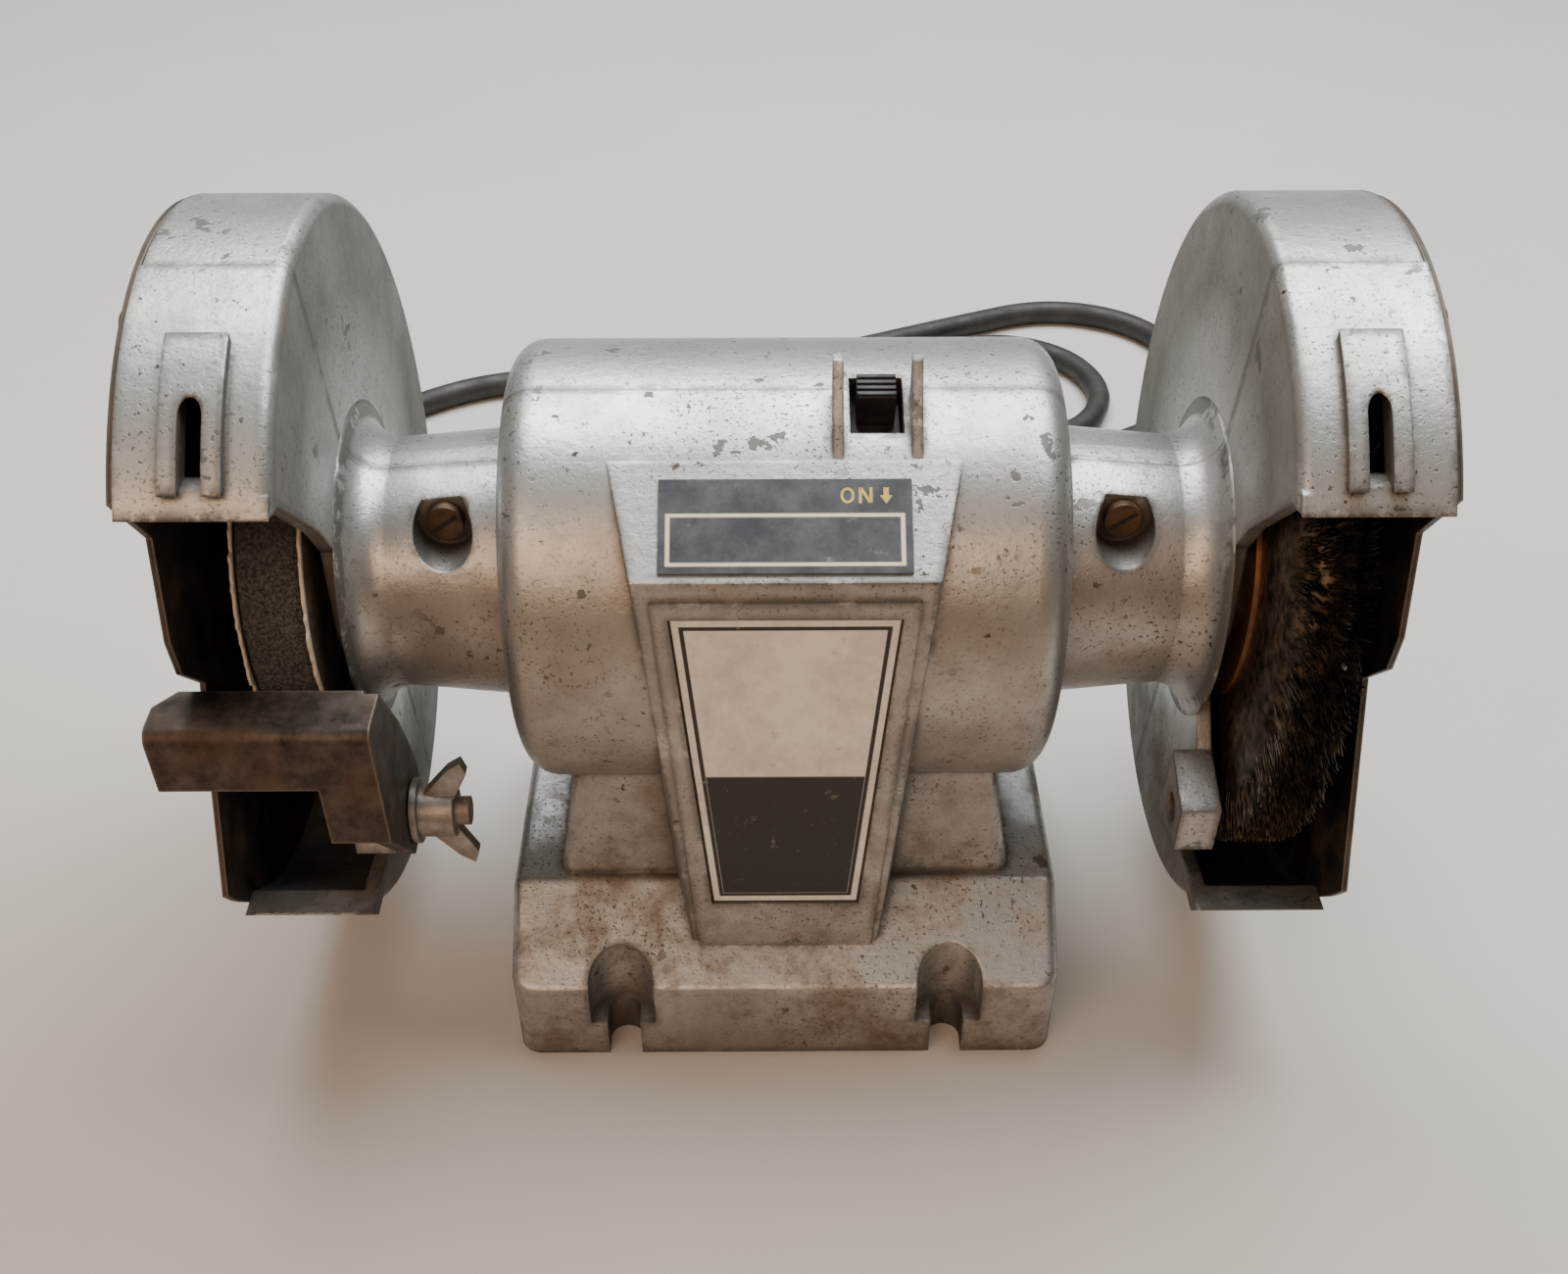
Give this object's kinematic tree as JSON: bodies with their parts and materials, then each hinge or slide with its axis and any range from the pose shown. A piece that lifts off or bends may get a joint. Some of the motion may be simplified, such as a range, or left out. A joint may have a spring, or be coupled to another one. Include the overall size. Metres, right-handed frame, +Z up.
{
  "type": "bench grinder",
  "caption": "Double-ended bench grinder: worn grinding wheel and wire wheel in open guards on a motor housing, pedestal, tool rest and loose cord.",
  "frame": {"origin": "middle of the base underside, on the bench", "axes": "+X along the shaft to the wire wheel, +Y to the back, +Z up"},
  "size_m": [0.3141, 0.3727, 0.17],
  "materials": {
    "casting_paint": "silver metallic paint, worn",
    "cover_steel": "dark sheet steel, dull",
    "plain_steel": "dull steel",
    "rest_steel": "brown rusted steel",
    "nameplate_sheet": "off-white printed sheet with a dark lower block",
    "switch_sheet": "dark printed sheet",
    "core_steel": "laminated steel",
    "winding_copper": "enamelled wire",
    "wheel_grit": "grey bonded grit",
    "blotter_paper": "tan paper, frayed",
    "brush_plate_copper": "copper-washed sheet",
    "wire_fill": "crimped steel wire",
    "switch_black": "black moulded",
    "cord_rubber": "black rubber",
    "blade_brass": "plain"
  },
  "bodies": {
    "frame": {"front_casting": "casting_paint", "rear_casting": "casting_paint", "left_guard_front": "casting_paint", "left_guard_rear": "casting_paint", "right_guard_front": "casting_paint", "right_guard_rear": "casting_paint", "left_side_cover": "cover_steel", "right_side_cover": "cover_steel", "left_cover_screws": "plain_steel", "right_cover_screws": "plain_steel", "left_neck_screw": "plain_steel", "right_neck_screw": "plain_steel", "left_rear_screw": "plain_steel", "right_rear_screw": "plain_steel", "nameplate": "nameplate_sheet", "switch_plate": "switch_sheet", "stator_core": "core_steel", "stator_windings": "winding_copper", "left_bearing_outer": "plain_steel", "right_bearing_outer": "plain_steel", "switch_body": "switch_black", "rest_bolt": "plain_steel", "strain_relief": "cord_rubber", "power_cord": "cord_rubber", "plug_body": "cord_rubber", "plug_blades": "blade_brass", "plug_ground_pin": "blade_brass"},
    "rotor": {"shaft": "plain_steel", "rotor_core": "core_steel", "left_bearing_inner": "plain_steel", "left_bearing_balls": "plain_steel", "right_bearing_inner": "plain_steel", "right_bearing_balls": "plain_steel", "left_inner_flange": "plain_steel", "left_outer_flange": "plain_steel", "left_arbor_nut": "plain_steel", "right_inner_flange": "plain_steel", "right_outer_flange": "plain_steel", "right_arbor_nut": "plain_steel", "grinding_wheel": "wheel_grit", "inner_blotter": "blotter_paper", "outer_blotter": "blotter_paper", "inner_brush_plate": "brush_plate_copper", "outer_brush_plate": "brush_plate_copper", "wire_bristles": "wire_fill"},
    "switch": {"switch_slider": "switch_black"},
    "tool_rest": {"tool_rest": "rest_steel"},
    "washer": {"rest_washer": "plain_steel"},
    "wing_nut": {"wing_nut": "plain_steel"}
  },
  "joints": [
    {"name": "rotor_spin", "type": "hinge", "parent": "frame", "child": "rotor", "pos_m": [0, 0, 0.097], "axis": [1, 0, 0], "continuous": true},
    {"name": "switch_slide", "type": "slide", "parent": "frame", "child": "switch", "axis": [0, -0.9613, -0.2756], "range_m": [0, 0.005]},
    {"name": "tool_rest_slide", "type": "slide", "parent": "frame", "child": "tool_rest", "axis": [0, -1, 0], "range_m": [-0.0015, 0.0035]},
    {"name": "washer_slide", "type": "slide", "parent": "frame", "child": "washer", "axis": [1, 0, 0], "range_m": [0, 0.0026]},
    {"name": "wing_nut_turn", "type": "hinge", "parent": "washer", "child": "wing_nut", "pos_m": [-0.075, -0.038, 0.06], "axis": [1, 0, 0], "range_deg": [0, 720]}
  ],
  "couplings": [
    {"joint": "washer_slide", "follows": "wing_nut_turn", "m_per_rad": 0.00020213}
  ]
}
